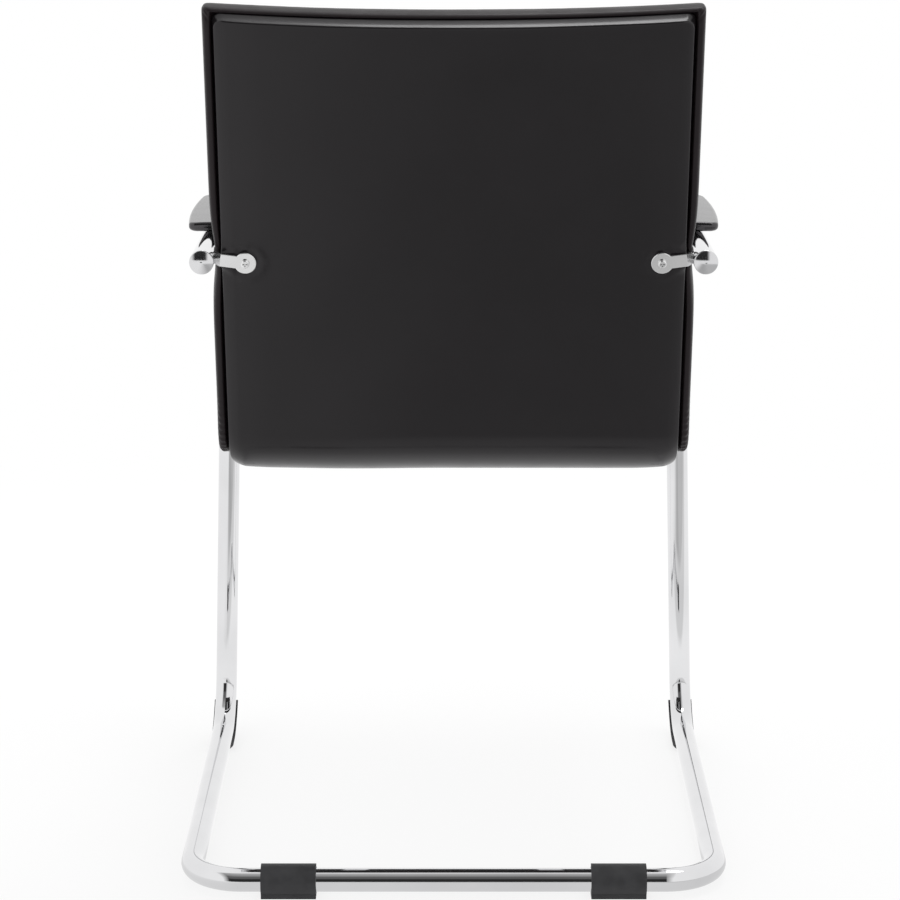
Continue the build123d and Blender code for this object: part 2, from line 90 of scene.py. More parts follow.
# Front cushion: crown, slack and pull of its cover
SEAT_CROWN = 9 * MM
BACK_CROWN = 6 * MM
CROWN_CHANGE = 4  # the seat's crown turns into the back's over one part in this many of the back
CROWN_POWER = 2.6
CROWN_END_POWER = 8
FACE_SWELL = 0.8 * MM
EDGE_PUCKER = 0.35 * MM
EDGE_PUCKER_RUN = 16 * MM
NOSE_DROP = 6 * MM
NOSE_RUN = 60 * MM
NOSE_PULL = 5 * MM
NOSE_POWER = 2.4
SIDE_BELLY = 1 * MM
SIDE_PULL = 2 * MM
SIDE_GAP = 1 * MM  # the sides start to move this far outside the recess
SIDE_BLEND = 12 * MM
ARM_HEIGHT = 656 * MM
ARM_SQUEEZE = 4.6 * MM
ARM_SQUEEZE_RUN = 34 * MM

# Front cushion: gathers and pleats at its bend, folds at its top corners
GATHER = 1.5 * MM
GATHER_RUN = 34 * MM
GATHER_REACH = 130 * MM  # in from the sides
GATHER_SLANT = 0.2
PLEAT = 1.1 * MM
PLEAT_RUN = 40 * MM
PLEAT_RISE = 8 * MM  # their middle lies this far up from the middle of the bend
PLEAT_LEAN = 0.55
PLEAT_DEPTH = 30 * MM  # from the rear face
PLEAT_FADE = 20 * MM
FOLD = 1.7 * MM
FOLD_WIDTH = 1.8 * MM
FOLD_RUN = 17 * MM
FOLD_LIP = 0.9 * MM
FOLD_LIP_OFFSET = 4 * MM
FOLD_LIP_WIDTH = 2.2 * MM

# Rear panel: outline
PANEL_HALF = 241.4 * MM
PANEL_THICK = 15.2 * MM
PANEL_WRAP = 90 * MM
PANEL_TOP = 503.5 * MM
PANEL_CORNER_R = 10 * MM
PANEL_FRONT_EDGE_R = 3 * MM
PANEL_EDGE_R = 1.4 * MM
PANEL_LEDGE = 5.2 * MM  # its edge draws in by this from front to rear
PANEL_LEDGE_POWER = 1.5
PANEL_SIDE_SHARE = 0.6  # its sides draw in by this share of what its ends do
PANEL_TAPER = 0.65  # share of its thickness that it loses towards its end under the seat
PANEL_TAPER_RUN = 60 * MM
PANEL_TUCK_LEFT = 5 * MM  # its sides draw in by this round the roll
PANEL_TUCK_RIGHT = 3 * MM
PANEL_TUCK_RISE = 6 * MM
PANEL_TUCK_RUN = 26 * MM

# Rear panel: its face, which falls away towards the sides and more steeply at their brink
PANEL_CROWN = 1.6 * MM
PANEL_CROWN_RUN = 60 * MM
PANEL_CROWN_POWER = 4
PANEL_SWELL = 0.4 * MM
SIDE_FALL = 2.4 * MM
SIDE_FALL_RUN = 50 * MM
BRINK_FALL = 5 * MM
BRINK_FALL_RUN = 16 * MM
TOP_FALL = 1 * MM
TOP_FALL_RUN = 14 * MM
ROLL_DRAW = 1.8 * MM  # the middle of the roll is drawn in by this
ROLL_DRAW_RUN = 45 * MM

# Rear panel: where the straps press on it, and the cover puffs up round them
EYE_X = 213.99 * MM
EYE_R = 11.5 * MM
EYE_HEIGHT = 655 * MM
STRAP_HALF = 7 * MM
STRAP_SLOPE = math.radians(8)
PRESS = 0.25 * MM
PRESS_GAP = 1 * MM
PRESS_RUN = 6 * MM
PUFF = 1.5 * MM
PUFF_OFFSET = 6 * MM
PUFF_WIDTH = 3.6 * MM

# Arm pads
ARM_X = 258.59 * MM
TUBE_R = 12.5 * MM
PAD_REAR = 86.84 * MM
PAD_LENGTH = 209 * MM
PAD_HALF = 23 * MM  # at its ends
PAD_BOW = 5 * MM
PAD_FLOOR = 667.5 * MM
PAD_THICK = 9.3 * MM
PAD_CROWN = 1.1 * MM
PAD_TOP_R = 2.6 * MM
PAD_UNDER_R = 4.8 * MM
PAD_REAR_CORNER = 7 * MM
PAD_NOSE_CORNER = 15 * MM
PAD_SEAT_SHARE = 0.1  # its lowest tenth is hollowed to lie on the tube

# Dust cover
DUST_START = 90.1 * MM  # along the seat from the shell's corner
DUST_LENGTH = 335.8 * MM
DUST_HALF = 234 * MM
DUST_THICK = 0.8 * MM
DUST_PITCH = 6 * MM
DUST_SAG = 2.6 * MM
DUST_EDGE_RUN = 45 * MM  # in from its edges the sag grows over this
DUST_RAIL_RUN = 30 * MM
DUST_RAIL_GAP = 4 * MM
RAIL_X = 120 * MM
RAIL_HALF = 15 * MM
BOLT_HEAD_R = 5 * MM
BOLT_CLEAR_R = 8 * MM  # the sheet has no cell nearer to a bolt than this

# Floor, whose places are measured from its middle
FLOOR_MIDDLE = 0.9  # behind the chair, so that the floor in front of it fades out sooner
FLOOR_RADIUS = 14
FLOOR_FADE = (1.3, 2.6)  # it takes shadow up to the first distance and is plain white from the second
FLOOR_SHARE = 0.8  # share of plain white that the camera sees even under the chair

# Floor as only metal shows it: painted light, an emission from 0, unlit, to 1, with painted pools of light
# and painted shade that stand in for how a studio floor is lit
PAINTED_LIGHT_HALF = 1.0  # places in the pools run from 0 at this far right to 1 at this far left
# painted light across the floor in reflections: a painted pool of light on the left, painted shade in the
# middle and on the right
PAINTED_FLOOR_LIGHT = [(0.25, 0.6), (0.4, 0.5), (0.5, 0.5), (0.6, 0.74), (0.7, 0.92), (0.8, 1.0)]
# painted pool of light on the floor by the rear bar
PAINTED_LIGHT_BY_BAR = (-0.1, -0.45)  # along Y it grows to its level from the first place to the second
PAINTED_LIGHT_BY_BAR_LEVEL = 0.77
# painted pool of light on the floor under the chair
PAINTED_LIGHT_UNDER_CHAIR = (-0.55, -0.8)

# World: how unlit the gap behind the camera is in metal, by direction, and how bright the room is
GAP_ACROSS = [(0.36, 0.0), (0.43, 1.0), (0.7, 1.0), (0.78, 0.0)]
GAP_UPWARD = [(0.0, 0.98), (0.42, 0.97), (0.5, 0.88), (0.71, 0.86), (0.88, 0.64), (0.95, 0.56), (1.0, 0.4)]
GAP_BACKWARD = [(0.0, 0.0), (0.15, 1.0)]
ROOM_UPWARD = [(0.0, 0.95), (0.3, 0.95), (0.6, 0.86), (1.0, 0.8)]  # to all other rays

# Camera
CAMERA_PLACE = (3.8 * MM, 3195.4 * MM, 1169.6 * MM)
CAMERA_TILT = math.radians(13.404)
CAMERA_LENS = 118  # millimetres, like the sensor
CAMERA_SENSOR = 36


# Side view

def direction(y, z):
    return np.array([y, z])


SEAT_DIR = direction(-math.cos(SEAT_PITCH), math.sin(SEAT_PITCH))
SEAT_OUT = direction(-math.sin(SEAT_PITCH), -math.cos(SEAT_PITCH))
BACK_DIR = direction(math.sin(BACK_RECLINE), math.cos(BACK_RECLINE))
BACK_OUT = direction(math.cos(BACK_RECLINE), -math.sin(BACK_RECLINE))
OPENING = math.cos(BACK_RECLINE - SEAT_PITCH)
TURN = math.acos(float(SEAT_OUT @ BACK_OUT))
HALF_ANGLE = (math.pi - TURN) / 2


def side_line(seat_offset, back_offset, radius, seat_end, back_end):
    """The L at an offset outward: a function of 0 to 3 that takes one unit for seat, bend and back."""
    corner = SHELL_CORNER - SEAT_DIR * (back_offset / OPENING) - BACK_DIR * (seat_offset / OPENING)
    reach = radius / math.tan(HALF_ANGLE)
    start = SHELL_CORNER + SEAT_DIR * seat_end + SEAT_OUT * seat_offset
    end = SHELL_CORNER + BACK_DIR * back_end + BACK_OUT * back_offset
    before = corner + SEAT_DIR * reach
    after = corner + BACK_DIR * reach
    centre = before - SEAT_OUT * radius

    def place(u):
        u = np.asarray(u, float)[:, None]
        turn = np.clip(u - 1, 0, 1) * TURN
        out = (np.sin(TURN - turn) * SEAT_OUT + np.sin(turn) * BACK_OUT) / math.sin(TURN)
        bend = centre + radius * out
        seat = start + (before - start) * u
        back = after + (end - after) * (u - 2)
        spot = np.where(u < 1, seat, np.where(u > 2, back, bend))
        return spot, out

    lengths = (np.linalg.norm(before - start), radius * TURN, np.linalg.norm(end - after))
    return place, lengths


def to_units(run, lengths):
    """A run in metres along the L as the 0 to 3 that side_line takes. It may overshoot both ends."""
    seat, bend, back = lengths
    return np.where(
        run < seat,
        run / seat,
        np.where(run < seat + bend, 1 + (run - seat) / bend, 2 + (run - seat - bend) / back),
    )


# Closed grids with rounded edges

def lines(*stops):
    """Grid lines from place to place, each stretch at its own pitch."""
    runs = []
    for (start, pitch), (end, _) in zip(stops, stops[1:]):
        count = max(1, round((end - start) / pitch))
        runs.append(np.linspace(start, end, count, endpoint=False))
    return np.append(np.concatenate(runs), stops[-1][0])


def depth_lines(thick, low_r, high_r, steps=8, between=3):
    """Lines through a thickness at even steps round both of its edges, and a few between them."""
    turn = np.linspace(0, math.pi / 2, steps + 1)
    low = low_r * (1 - np.cos(turn))
    high = thick - high_r + high_r * np.sin(turn)
    middle = np.linspace(low_r, thick - high_r, between + 2)[1:-1]
    return np.concatenate([low, middle, high])


def box_grid(xs, ys, zs):
    """Points and quads of a box's surface, one shared point at each crossing."""
    shape = (len(xs), len(ys), len(zs))
    surface = np.zeros(shape, bool)
    surface[[0, -1]] = True
    surface[:, [0, -1]] = True
    surface[:, :, [0, -1]] = True
    index = np.zeros(shape, int)
    index[surface] = np.arange(surface.sum())
    i, j, k = np.nonzero(surface)
    quads = []
    for axis in range(3):
        for end in (0, -1):
            sheet = np.take(index, end, axis=axis)
            ring = [sheet[:-1, :-1], sheet[1:, :-1], sheet[1:, 1:], sheet[:-1, 1:]]
            loop = np.stack(ring, -1).reshape(-1, 4)
            quads.append(loop[:, ::-1] if (end == 0) != (axis == 1) else loop)
    return np.column_stack([xs[i], ys[j], zs[k]]), np.vstack(quads)


def round_plan(x, run, half, length, start_r, end_r):
    """Moves points of a rectangle so that its four corners are round."""
    for radius, to_end, sign in ((start_r, run, -1), (end_r, length - run, 1)):
        a = np.clip(1 - (half - np.abs(x)) / radius, 0, 1)
        b = np.clip(1 - to_end / radius, 0, 1)
        shift_x = radius * a * (np.sqrt(1 - b * b / 2) - 1)
        shift_run = radius * b * (np.sqrt(1 - a * a / 2) - 1)
        x = x + np.sign(x) * shift_x
        run = run + sign * shift_run
    return x, run


def edge_inset(depth, thick, low_r, high_r):
    """How far the outline is drawn in at a depth, where the two edges turn over."""
    low = np.clip((low_r - depth) / low_r, 0, 1)
    high = np.clip((depth - thick + high_r) / high_r, 0, 1)
    return low_r * (1 - np.sqrt(1 - low ** 2)) + high_r * (1 - np.sqrt(1 - high ** 2))


def draw_in(x, run, inset, half, length, side_share=1):
    """Draws points of a rectangle in from its sides and ends."""
    x = x * (1 - side_share * inset / half)
    run = length / 2 + (run - length / 2) * (1 - 2 * inset / length)
    return x, run


def bump(distance, run):
    """A smooth bump of height 1 that fades over a run."""
    return np.exp(-(distance / run) ** 2)


def ease(value):
    """0 to 1 with a smooth start and end."""
    value = np.clip(value, 0, 1)
    return value * value * (3 - 2 * value)


def fall(distance, run):
    """1 at an edge, and 0 from a run away from it, steepest at the edge."""
    return np.clip(1 - distance / run, 0, 1) ** 2


def uneven(waves):
    """Waves as a factor that is about 1 at their crests."""
    return 1 - WAVE_SHARE + WAVE_SHARE * waves


def top_sag(sideways, to_top):
    """How far the upholstery hangs at a share of its half width and a distance from its top edge."""
    return TOP_SAG * (1 - sideways ** TOP_SAG_POWER) * ease(1 - to_top / TOP_SAG_RUN)


def ripples(seed, wavelengths, count=7):
    """A seeded sum of plane waves over 2-D points, about -1 to 1."""
    rng = np.random.default_rng(seed)
    low, high = wavelengths
    length = rng.uniform(low, high, count)
    angle = rng.uniform(0, math.pi, count)
    phase = rng.uniform(0, 2 * math.pi, count)
    kx = 2 * math.pi / length * np.cos(angle)
    ky = 2 * math.pi / length * np.sin(angle)

    def height(x, y):
        waves = np.sin(np.outer(x, kx) + np.outer(y, ky) + phase)
        return waves.sum(axis=1) / math.sqrt(count)

    return height


def pleats(seed, wavelengths, count=5, peak=1.5):
    """A seeded run of folds along one direction, with round crests and sharp creases, -1 to 1."""
    rng = np.random.default_rng(seed)
    length = rng.uniform(*wavelengths, count)
    phase = rng.uniform(0, 2 * math.pi, count)

    def height(run):
        waves = np.sin(np.outer(run, 2 * math.pi / length) + phase).sum(axis=1) / math.sqrt(count)
        return np.abs(np.clip(waves, -peak, peak)) / (peak / 2) - 1

    return height


def make_mesh(name, points, quads, material):
    """A smooth piece that rides on the root body."""
    mesh = bpy.data.meshes.new(name)
    mesh.from_pydata([tuple(p) for p in points], [], [tuple(int(i) for i in q) for q in quads])
    work = bmesh.new()
    work.from_mesh(mesh)
    bmesh.ops.recalc_face_normals(work, faces=work.faces)
    work.to_mesh(mesh)
    work.free()
    mesh.shade_smooth()
    mesh.materials.append(material)
    piece = bpy.data.objects.new(name, mesh)
    bpy.context.scene.collection.objects.link(piece)
    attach(piece, "root")
    return piece


# Materials

def new_material(name, **values):
    material = bpy.data.materials.new(name)
    material.use_nodes = True
    shader = material.node_tree.nodes["Principled BSDF"]
    for socket, value in values.items():
        shader.inputs[socket.replace("_", " ")].default_value = value
    return material, shader


def add_node(owner, kind, **settings):
    node = owner.node_tree.nodes.new(kind)
    for key, value in settings.items():
        socket = key.replace("_", " ")
        if socket in node.inputs:
            node.inputs[socket].default_value = value
        else:
            setattr(node, key, value)
    return node


def link(owner, output, target):
    owner.node_tree.links.new(output, target)


def combine(owner, operation, *sources):
    """A Math node on the given outputs, held to 0 to 1."""
    node = add_node(owner, "ShaderNodeMath", operation=operation, use_clamp=True)
    for source, socket in zip(sources, node.inputs):
        link(owner, source, socket)
    return node.outputs["Value"]


def object_coordinates(material):
    return add_node(material, "ShaderNodeTexCoord").outputs["Object"]


def noise_texture(material, scale, detail=3.0, roughness=0.5):
    node = add_node(material, "ShaderNodeTexNoise", Scale=scale, Detail=detail, Roughness=roughness)
    link(material, object_coordinates(material), node.inputs["Vector"])
    return node.outputs["Fac"]


def cell_texture(material, scale):
    """Distance to the nearest edge between the cells of a grain."""
    node = add_node(material, "ShaderNodeTexVoronoi", feature="DISTANCE_TO_EDGE", Scale=scale)
    link(material, object_coordinates(material), node.inputs["Vector"])
    return node.outputs["Distance"]


def ramp(owner, source, stops):
    """Colours or greys at places from 0 to 1."""
    node = add_node(owner, "ShaderNodeValToRGB")
    elements = node.color_ramp.elements
    while len(elements) < len(stops):
        elements.new(0.5)
    for element, (place, value) in zip(elements, stops):
        element.position = place
        element.color = (value, value, value, 1) if isinstance(value, float) else (*value, 1)
    link(owner, source, node.inputs["Fac"])
    return node.outputs["Color"]


def vary(material, shader, socket, source, stops):
    """Drives an input of the shader by a texture, through a ramp."""
    link(material, ramp(material, source, stops), shader.inputs[socket])


def add_bump(material, shader, layers):
    """Bumps on each other, each from a height, its strength and its depth in metres."""
    normal = None
    for height, strength, depth in layers:
        node = add_node(material, "ShaderNodeBump", Strength=strength, Distance=depth)
        link(material, height, node.inputs["Height"])
        if normal is not None:
            link(material, normal, node.inputs["Normal"])
        normal = node.outputs["Normal"]
    link(material, normal, shader.inputs["Normal"])


def vinyl_material(name, grain, tones, rough, gloss, coat, relief):
    material, shader = new_material(
        name,
        Specular_IOR_Level=gloss,
        Specular_Tint=(1.0, 0.96, 1.0, 1.0),
        Coat_Weight=coat,
        Coat_Roughness=0.1,
    )
    tone = noise_texture(material, scale=9.0, detail=4.0)
    vary(material, shader, "Base Color", tone, [(0.3, tones[0]), (0.7, tones[1])])
    wear = noise_texture(material, scale=40.0, detail=5.0)
    vary(material, shader, "Roughness", wear, [(0.3, rough[0]), (0.75, rough[1])])
    cells = cell_texture(material, grain)
    creases = ramp(material, cells, [(0.0, 0.0), (0.22, 1.0)])
    pores = noise_texture(material, scale=grain * 2.4, detail=2.0)
    add_bump(material, shader, [(creases, 0.07 * relief, 0.2 * MM), (pores, 0.05 * relief, 0.12 * MM)])
    return material


def chrome_material(name, tones, rough):
    material, shader = new_material(name, Metallic=1.0)
    haze = noise_texture(material, scale=14.0, detail=4.0)
    vary(material, shader, "Base Color", haze, [(0.3, tones[0]), (0.7, tones[1])])
    smudge = noise_texture(material, scale=60.0, detail=6.0, roughness=0.6)
    vary(material, shader, "Roughness", smudge, [(0.35, rough[0]), (0.8, rough[1])])
    swell = noise_texture(material, scale=25.0, detail=1.0)
    add_bump(material, shader, [(swell, 0.02, 0.2 * MM)])
    return material


def plastic_material(name, tones, rough, grain):
    material, shader = new_material(name, Specular_IOR_Level=0.45)
    tone = noise_texture(material, scale=70.0, detail=5.0)
    vary(material, shader, "Base Color", tone, [(0.35, tones[0]), (0.75, tones[1])])
    vary(material, shader, "Roughness", tone, [(0.3, rough[0]), (0.8, rough[1])])
    spark = noise_texture(material, scale=grain, detail=3.0)
    add_bump(material, shader, [(spark, 0.25, 0.15 * MM)])
    return material


def steel_material():
    material, shader = new_material("zinc_steel", Metallic=1.0)
    tone = noise_texture(material, scale=120.0, detail=4.0)
    vary(material, shader, "Base Color", tone, [(0.3, (0.5, 0.5, 0.48)), (0.7, (0.66, 0.66, 0.65))])
    vary(material, shader, "Roughness", tone, [(0.3, 0.28), (0.7, 0.42)])
    pits = noise_texture(material, scale=900.0)
    add_bump(material, shader, [(pits, 0.1, 0.1 * MM)])
    return material


def plywood_material():
    material, shader = new_material("plywood", Roughness=0.7)
    node = add_node(material, "ShaderNodeTexWave", Scale=30.0, Distortion=6.0, Detail=3.0)
    link(material, object_coordinates(material), node.inputs["Vector"])
    grain = node.outputs["Fac"]
    vary(material, shader, "Base Color", grain, [(0.2, (0.34, 0.21, 0.11)), (0.8, (0.52, 0.36, 0.21))])
    add_bump(material, shader, [(grain, 0.2, 0.3 * MM)])
    return material


def lining_material():
    material, shader = new_material("lining", Roughness=0.95, Specular_IOR_Level=0.2)
    fibres = noise_texture(material, scale=700.0, detail=6.0, roughness=0.7)
    stops = [(0.35, (0.008, 0.008, 0.009)), (0.75, (0.03, 0.03, 0.03))]
    vary(material, shader, "Base Color", fibres, stops)
    add_bump(material, shader, [(fibres, 0.5, 0.4 * MM)])
    return material


vinyl = vinyl_material(
    "vinyl",
    grain=900.0,
    tones=((0.0036, 0.0029, 0.0034), (0.0052, 0.0042, 0.0049)),
    rough=(0.28, 0.35),
    gloss=0.26,
    coat=0.30,
    relief=0.6,
)
grained_vinyl = vinyl_material(
    "grained_vinyl",
    grain=650.0,
    tones=((0.0080, 0.0054, 0.0061), (0.0118, 0.0082, 0.0092)),
    rough=(0.40, 0.50),
    gloss=0.2,
    coat=0.08,
    relief=2.4,
)
pad_skin = vinyl_material(
    "arm_pad",
    grain=1500.0,
    tones=((0.006, 0.006, 0.0062), (0.010, 0.010, 0.0105)),
    rough=(0.13, 0.18),
    gloss=0.9,
    coat=0.0,
    relief=0.3,
)
chrome = chrome_material(
    "chromed_tube", tones=((0.73, 0.73, 0.74), (0.79, 0.79, 0.80)), rough=(0.03, 0.06)
)
strap_chrome = chrome_material(
    "chromed_strap", tones=((0.78, 0.78, 0.78), (0.88, 0.88, 0.88)), rough=(0.15, 0.24)
)
cap_chrome = chrome_material(
    "chromed_cap", tones=((0.67, 0.67, 0.68), (0.73, 0.73, 0.74)), rough=(0.08, 0.14)
)
glide_plastic = plastic_material(
    "glide_plastic", tones=((0.022, 0.022, 0.024), (0.04, 0.04, 0.043)), rough=(0.5, 0.68), grain=1500.0
)
zinc_steel = steel_material()
plywood = plywood_material()
lining = lining_material()

SIDES = ("left", "right")


def paint(material, *names):
    for name in names:
        data = nodes[name].data
        data.materials.clear()
        data.materials.append(material)


def paint_sides(material, *names):
    paint(material, *[name + "_" + side for name in names for side in SIDES])


paint(chrome, "frame_tube", "seat_cross_tube")
paint_sides(chrome, "seat_rail")
paint_sides(strap_chrome, "back_strap")
paint(strap_chrome, "back_screws")
paint_sides(cap_chrome, "arm_end_cap")
paint_sides(glide_plastic, "rear_glide", "front_glide")
paint(zinc_steel, "seat_bolts", "seat_washers", "seat_nuts", "back_nuts", "arm_pad_screws")
paint_sides(zinc_steel, "arm_pad_plate")
paint(plywood, "seat_shell")


# Front cushion: an L-shaped pad, crowned on the sitter's side, gathered at the bend and pinched by the arms

rear_line, rear_lengths = side_line(0, 0, ROLL_R, SEAT_LENGTH, CUSHION_TOP)
front_line, front_lengths = side_line(-SEAT_THICK, -BACK_THICK, INNER_BEND_R, SEAT_LENGTH, CUSHION_TOP)
cushion_lengths = [(a + b) / 2 for a, b in zip(rear_lengths, front_lengths)]
cushion_run = sum(cushion_lengths)
bend_start = cushion_lengths[0]
bend_middle = bend_start + cushion_lengths[1] / 2
back_start = bend_start + cushion_lengths[1]
recess_half = SHELL_HALF + RECESS_GAP
recess_start = (SHELL_MARGIN - RECESS_GAP) * cushion_lengths[0] / rear_lengths[0]
recess_end = cushion_run - RECESS_TOP_MARGIN
face_waves = ripples(seed=11, wavelengths=(90 * MM, 190 * MM))
edge_waves = ripples(seed=12, wavelengths=(12 * MM, 22 * MM))
bend_pleats = pleats(seed=13, wavelengths=(10 * MM, 15 * MM), count=3)
bend_gathers = pleats(seed=14, wavelengths=(16 * MM, 30 * MM))


def cushion_surface(box_points):
    """Places points of the cushion's box (across, along the L, through) in the shared frame."""
    x, run, through = box_points.T
    x, run = round_plan(x, run, CUSHION_HALF, cushion_run, NOSE_CORNER_R, TOP_CORNER_R)
    inset = edge_inset(through, BACK_THICK, REAR_EDGE_R, FRONT_EDGE_R)
    x, run = draw_in(x, run, inset, CUSHION_HALF, cushion_run)
    sideways = np.abs(x) / CUSHION_HALF
    to_edge = CUSHION_HALF - np.abs(x)
    to_top = cushion_run - run
    height = rear_line(to_units(run, cushion_lengths))[0][:, 1]

    # The rear face: recess, rim and groove
    hollow = (np.abs(x) < recess_half) & (run > recess_start) & (run < recess_end) & (through == 0)
    at_rear = ease(1 - through / REAR_FACE_DEPTH)
    within_rim = ease((np.minimum(to_edge, to_top + RIM_TOP_CUT) - RIM_WIDTH) / GROOVE_SLOPE)
    above_bend = ease((run - bend_start) / (back_start - bend_start))
    roll = RIM_ROLL + (RIM_TOP_ROLL - RIM_ROLL) * ease(1 - to_top / RIM_TOP_RUN)
    roll = roll * above_bend - RIM_TUCK * bump(run - bend_start, RIM_TUCK_RUN)
    set_back = (GROOVE * above_bend + roll) * within_rim - roll
    depth = np.where(hollow, RECESS, through + set_back * at_rear) / BACK_THICK

    # The sitter's face: crown, drop of the nose, waves and gathers
    on_back = ease((run - bend_start) / (cushion_run - bend_start) * CROWN_CHANGE)
    crown = (SEAT_CROWN + (BACK_CROWN - SEAT_CROWN) * on_back) * (1 - sideways ** CROWN_POWER)
    crown = crown * (1 - np.abs(2 * run / cushion_run - 1) ** CROWN_END_POWER)
    droop = NOSE_DROP * fall(run, NOSE_RUN)
    swell = FACE_SWELL * face_waves(x, run)
    pucker = EDGE_PUCKER * edge_waves(x, run) * bump(np.minimum(to_edge, to_top), EDGE_PUCKER_RUN)
    gather = GATHER * bend_gathers(run - GATHER_SLANT * np.abs(x))
    gather = gather * bump(run - bend_middle, GATHER_RUN) * ease(1 - to_edge / GATHER_REACH)
    depth = depth + depth ** 2 * (crown - droop + swell + pucker + gather) / BACK_THICK

    # The folded top corners
    across_fold = to_edge - to_top
    lip = FOLD_LIP * bump(np.abs(across_fold) - FOLD_LIP_OFFSET, FOLD_LIP_WIDTH)
    fold = (FOLD * bump(across_fold, FOLD_WIDTH) - lip) * bump(np.hypot(to_edge, to_top), FOLD_RUN)
    depth = depth - fold * at_rear / BACK_THICK

    # The sides: belly, pleats, pinch at the arms and pull along the seat
    side = np.sign(x) * ease((np.abs(x) - recess_half - SIDE_GAP) / SIDE_BLEND)
    belly = SIDE_BELLY * np.sin(math.pi * np.clip(depth, 0, 1))
    pinch = ARM_SQUEEZE * bump(height - ARM_HEIGHT, ARM_SQUEEZE_RUN) * (run > bend_middle)
    pull = SIDE_PULL * np.sin(math.pi * np.clip(run / bend_start, 0, 1))
    pleat = PLEAT * bend_pleats(run + PLEAT_LEAN * (through - BACK_THICK / 2))
    pleat = pleat * ease((PLEAT_DEPTH - through) / PLEAT_FADE)
    pleat = pleat * bump(run - bend_middle - PLEAT_RISE, PLEAT_RUN)
    x = x + side * (belly + pleat - pinch - pull)
    depth = depth - np.abs(side) * pleat / BACK_THICK

    # The ends: sag of the top edge and pull at the nose
    nose = NOSE_PULL * (1 - sideways ** NOSE_POWER) * ease(1 - run / NOSE_RUN) * np.clip(depth, 0, 1)
    run = run - top_sag(sideways, to_top) + nose

    units = to_units(run, cushion_lengths)
    rear, _ = rear_line(units)
    front, _ = front_line(units)
    spot = rear + (front - rear) * depth[:, None]
    return np.column_stack([x, spot])


def cushion_lines():
    """Grid lines, fine at the edges and the bend, with a narrow step at the walls of the recess."""
    step = 0.2 * MM
    fine = 1.3 * MM
    at_bend = 1.5 * MM
    coarse = 4.5 * MM
    bend_margin = 60 * MM
    wall = recess_half / (1 - REAR_EDGE_R / CUSHION_HALF)
    right = lines((0, coarse), (wall - step, step), (wall + step, fine), (CUSHION_HALF, fine))
    across = np.concatenate([-right[:0:-1], right])
    middle = cushion_run / 2
    run_scale = 1 - 2 * REAR_EDGE_R / cushion_run
    first, last = (middle + (place - middle) / run_scale for place in (recess_start, recess_end))
    along = lines(
        (0, fine), (first - step, step), (first + step, coarse), (bend_start - bend_margin, at_bend),
        (back_start + bend_margin, coarse), (last - step, step), (last + step, fine), (cushion_run, fine),
    )
    return across, along, depth_lines(BACK_THICK, REAR_EDGE_R, FRONT_EDGE_R)


box_points, quads = box_grid(*cushion_lines())
front_cushion = make_mesh("front_cushion", cushion_surface(box_points), quads, grained_vinyl)
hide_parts("front_cover", "seat_foam", "back_foam")


# Rear panel: a thin padded board behind the back that rolls under the seat

panel_line, panel_lengths = side_line(0, 0, ROLL_R, PANEL_WRAP, PANEL_TOP)
panel_run = sum(panel_lengths)
roll_middle = panel_lengths[0] + panel_lengths[1] / 2
panel_waves = ripples(seed=21, wavelengths=(120 * MM, 260 * MM))
pucker_waves = ripples(seed=22, wavelengths=(9 * MM, 18 * MM))


def strap_distance(x, along):
    """How far a point of the back lies outside the nearer strap's outline."""
    outward = np.abs(x) - EYE_X
    eye = np.hypot(outward, along) - EYE_R
    off_middle = np.abs(along * math.cos(STRAP_SLOPE) - outward * math.sin(STRAP_SLOPE))
    return np.where(outward > 0, np.minimum(eye, off_middle - STRAP_HALF), eye)


def panel_surface(box_points):
    """Places points of the panel's box (across, along the L, outward) in the shared frame."""
    x, run, out = box_points.T
    share = out / PANEL_THICK
    x, run = round_plan(x, run, PANEL_HALF, panel_run, PANEL_CORNER_R, PANEL_CORNER_R)
    ledge = PANEL_LEDGE * (1 - (1 - share) ** PANEL_LEDGE_POWER)
    inset = edge_inset(out, PANEL_THICK, PANEL_FRONT_EDGE_R, PANEL_EDGE_R) + ledge
    x, run = draw_in(x, run, inset, PANEL_HALF, panel_run, PANEL_SIDE_SHARE)
    sideways = np.abs(x) / PANEL_HALF
    to_side = PANEL_HALF - np.abs(x)
    to_top = panel_run - run
    height = panel_line(to_units(run, panel_lengths))[0][:, 1] - PANEL_THICK * math.sin(BACK_RECLINE)

    # The face: crown, fall at the sides and top, waves, and the drawn-in roll
    crown = PANEL_CROWN * (1 - sideways ** PANEL_CROWN_POWER) * ease(to_top / PANEL_CROWN_RUN)
    away = SIDE_FALL * fall(to_side, SIDE_FALL_RUN) + BRINK_FALL * fall(to_side, BRINK_FALL_RUN)
    away = away + TOP_FALL * fall(to_top, TOP_FALL_RUN)
    swell = PANEL_SWELL * panel_waves(x, run)
    drawn = ROLL_DRAW * (1 - sideways ** 2) * bump(run - roll_middle, ROLL_DRAW_RUN)
    clear = strap_distance(x, (height - EYE_HEIGHT) / math.cos(BACK_RECLINE))
    press = 1 - ease((clear - PRESS_GAP) / PRESS_RUN)
    puff = PUFF * bump(clear - PUFF_OFFSET, PUFF_WIDTH) * uneven(pucker_waves(x, run))
    out = out + share * ((crown - away + swell - drawn) * (1 - press) + puff - PRESS * press)

    # The end under the seat, the sides round the roll and the sag of the top edge
    out = out * (1 - PANEL_TAPER * ease(1 - run / PANEL_TAPER_RUN))
    tuck = np.where(x > 0, PANEL_TUCK_LEFT, PANEL_TUCK_RIGHT)
    tuck = tuck * ease((roll_middle + PANEL_TUCK_RISE - run) / PANEL_TUCK_RUN)
    x = x * (1 - tuck / PANEL_HALF)
    run = run - top_sag(sideways, to_top)

    base, normal = panel_line(to_units(run, panel_lengths))
    spot = base + normal * (LAYER_GAP + out[:, None])
    return np.column_stack([x, spot])


